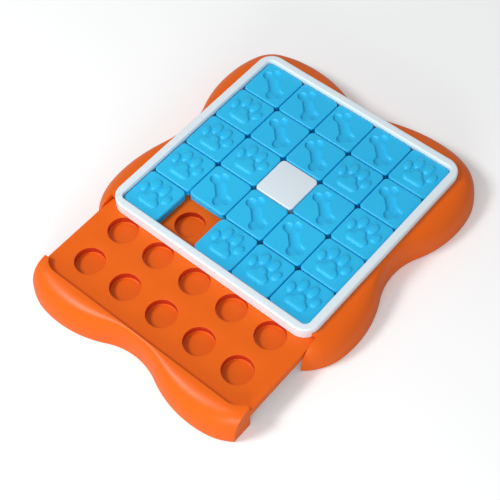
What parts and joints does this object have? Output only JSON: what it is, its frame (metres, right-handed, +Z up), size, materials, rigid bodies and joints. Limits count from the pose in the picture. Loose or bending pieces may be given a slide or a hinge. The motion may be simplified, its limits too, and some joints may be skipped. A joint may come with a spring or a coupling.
{
  "type": "sliding tile treat puzzle for dogs",
  "caption": "Square treat puzzle for dogs: sliding tiles with raised paws and hollow bones in a rounded frame, over a drawer of round treat wells.",
  "frame": {"origin": "on the floor, under the middle of the bounding box with the drawer half out as stored", "axes": "+Z up from the floor; +Y along the drawer's travel, away from the drawer's front; +X to the right seen from the drawer's front"},
  "size_m": [0.315, 0.411, 0.042],
  "materials": {
    "orange_plastic": "semi gloss",
    "white_plastic": "semi gloss",
    "blue_plastic": "semi gloss",
    "foot_rubber": "matte",
    "screw_steel": "satin"
  },
  "bodies": {
    "board": {"base_shell": "orange_plastic", "bottom_plate": "orange_plastic", "foot_front_left": "foot_rubber", "foot_front_right": "foot_rubber", "foot_back_left": "foot_rubber", "foot_back_right": "foot_rubber", "top_frame": "white_plastic", "tile_c1_r2": "blue_plastic", "tile_c3_r2": "blue_plastic", "tile_c4_r2": "blue_plastic", "tile_c5_r2": "blue_plastic", "tile_c1_r3": "blue_plastic", "centre_tile": "white_plastic", "tile_c4_r3": "blue_plastic", "tile_c5_r3": "blue_plastic", "tile_c1_r4": "blue_plastic", "tile_c3_r4": "blue_plastic", "tile_c4_r4": "blue_plastic", "tile_c5_r4": "blue_plastic", "tile_c1_r5": "blue_plastic", "tile_c3_r5": "blue_plastic", "tile_c4_r5": "blue_plastic", "tile_c5_r5": "blue_plastic"},
    "drawer": {"treat_drawer": "orange_plastic"},
    "first_tile": {"tile_c1_r1": "blue_plastic"},
    "front_tile_3": {"tile_c3_r1": "blue_plastic"},
    "front_tile_4": {"tile_c4_r1": "blue_plastic"},
    "front_tile_5": {"tile_c5_r1": "blue_plastic"},
    "column_tile_2": {"tile_c2_r2": "blue_plastic"},
    "column_tile_3": {"tile_c2_r3": "blue_plastic"},
    "column_tile_4": {"tile_c2_r4": "blue_plastic"},
    "column_tile_5": {"tile_c2_r5": "blue_plastic"}
  },
  "joints": [
    {"name": "drawer_slide", "type": "slide", "parent": "board", "child": "drawer", "axis": [0, -1, 0], "range_m": [-0.096, 0.096]},
    {"name": "first_tile_slide", "type": "slide", "parent": "board", "child": "first_tile", "axis": [1, 0, 0], "range_m": [0, 0.048]},
    {"name": "front_tile_5_slide", "type": "slide", "parent": "board", "child": "front_tile_5", "axis": [-1, 0, 0], "range_m": [0, 0.048]},
    {"name": "front_tile_4_slide", "type": "slide", "parent": "board", "child": "front_tile_4", "axis": [-1, 0, 0], "range_m": [0, 0.048]},
    {"name": "front_tile_3_slide", "type": "slide", "parent": "front_tile_4", "child": "front_tile_3", "axis": [-1, 0, 0], "range_m": [0, 0.048]},
    {"name": "column_tile_5_slide", "type": "slide", "parent": "board", "child": "column_tile_5", "axis": [0, 1, 0], "range_m": [-0.048, 0]},
    {"name": "column_tile_4_slide", "type": "slide", "parent": "board", "child": "column_tile_4", "axis": [0, 1, 0], "range_m": [-0.048, 0]},
    {"name": "column_tile_3_slide", "type": "slide", "parent": "board", "child": "column_tile_3", "axis": [0, 1, 0], "range_m": [-0.048, 0]},
    {"name": "column_tile_2_slide", "type": "slide", "parent": "board", "child": "column_tile_2", "axis": [0, 1, 0], "range_m": [-0.048, 0]}
  ],
  "couplings": [
    {"joint": "front_tile_4_slide", "follows": "front_tile_5_slide", "ratio": 1},
    {"joint": "column_tile_4_slide", "follows": "column_tile_5_slide", "ratio": 1},
    {"joint": "column_tile_3_slide", "follows": "column_tile_5_slide", "ratio": 1},
    {"joint": "column_tile_2_slide", "follows": "column_tile_5_slide", "ratio": 1}
  ]
}
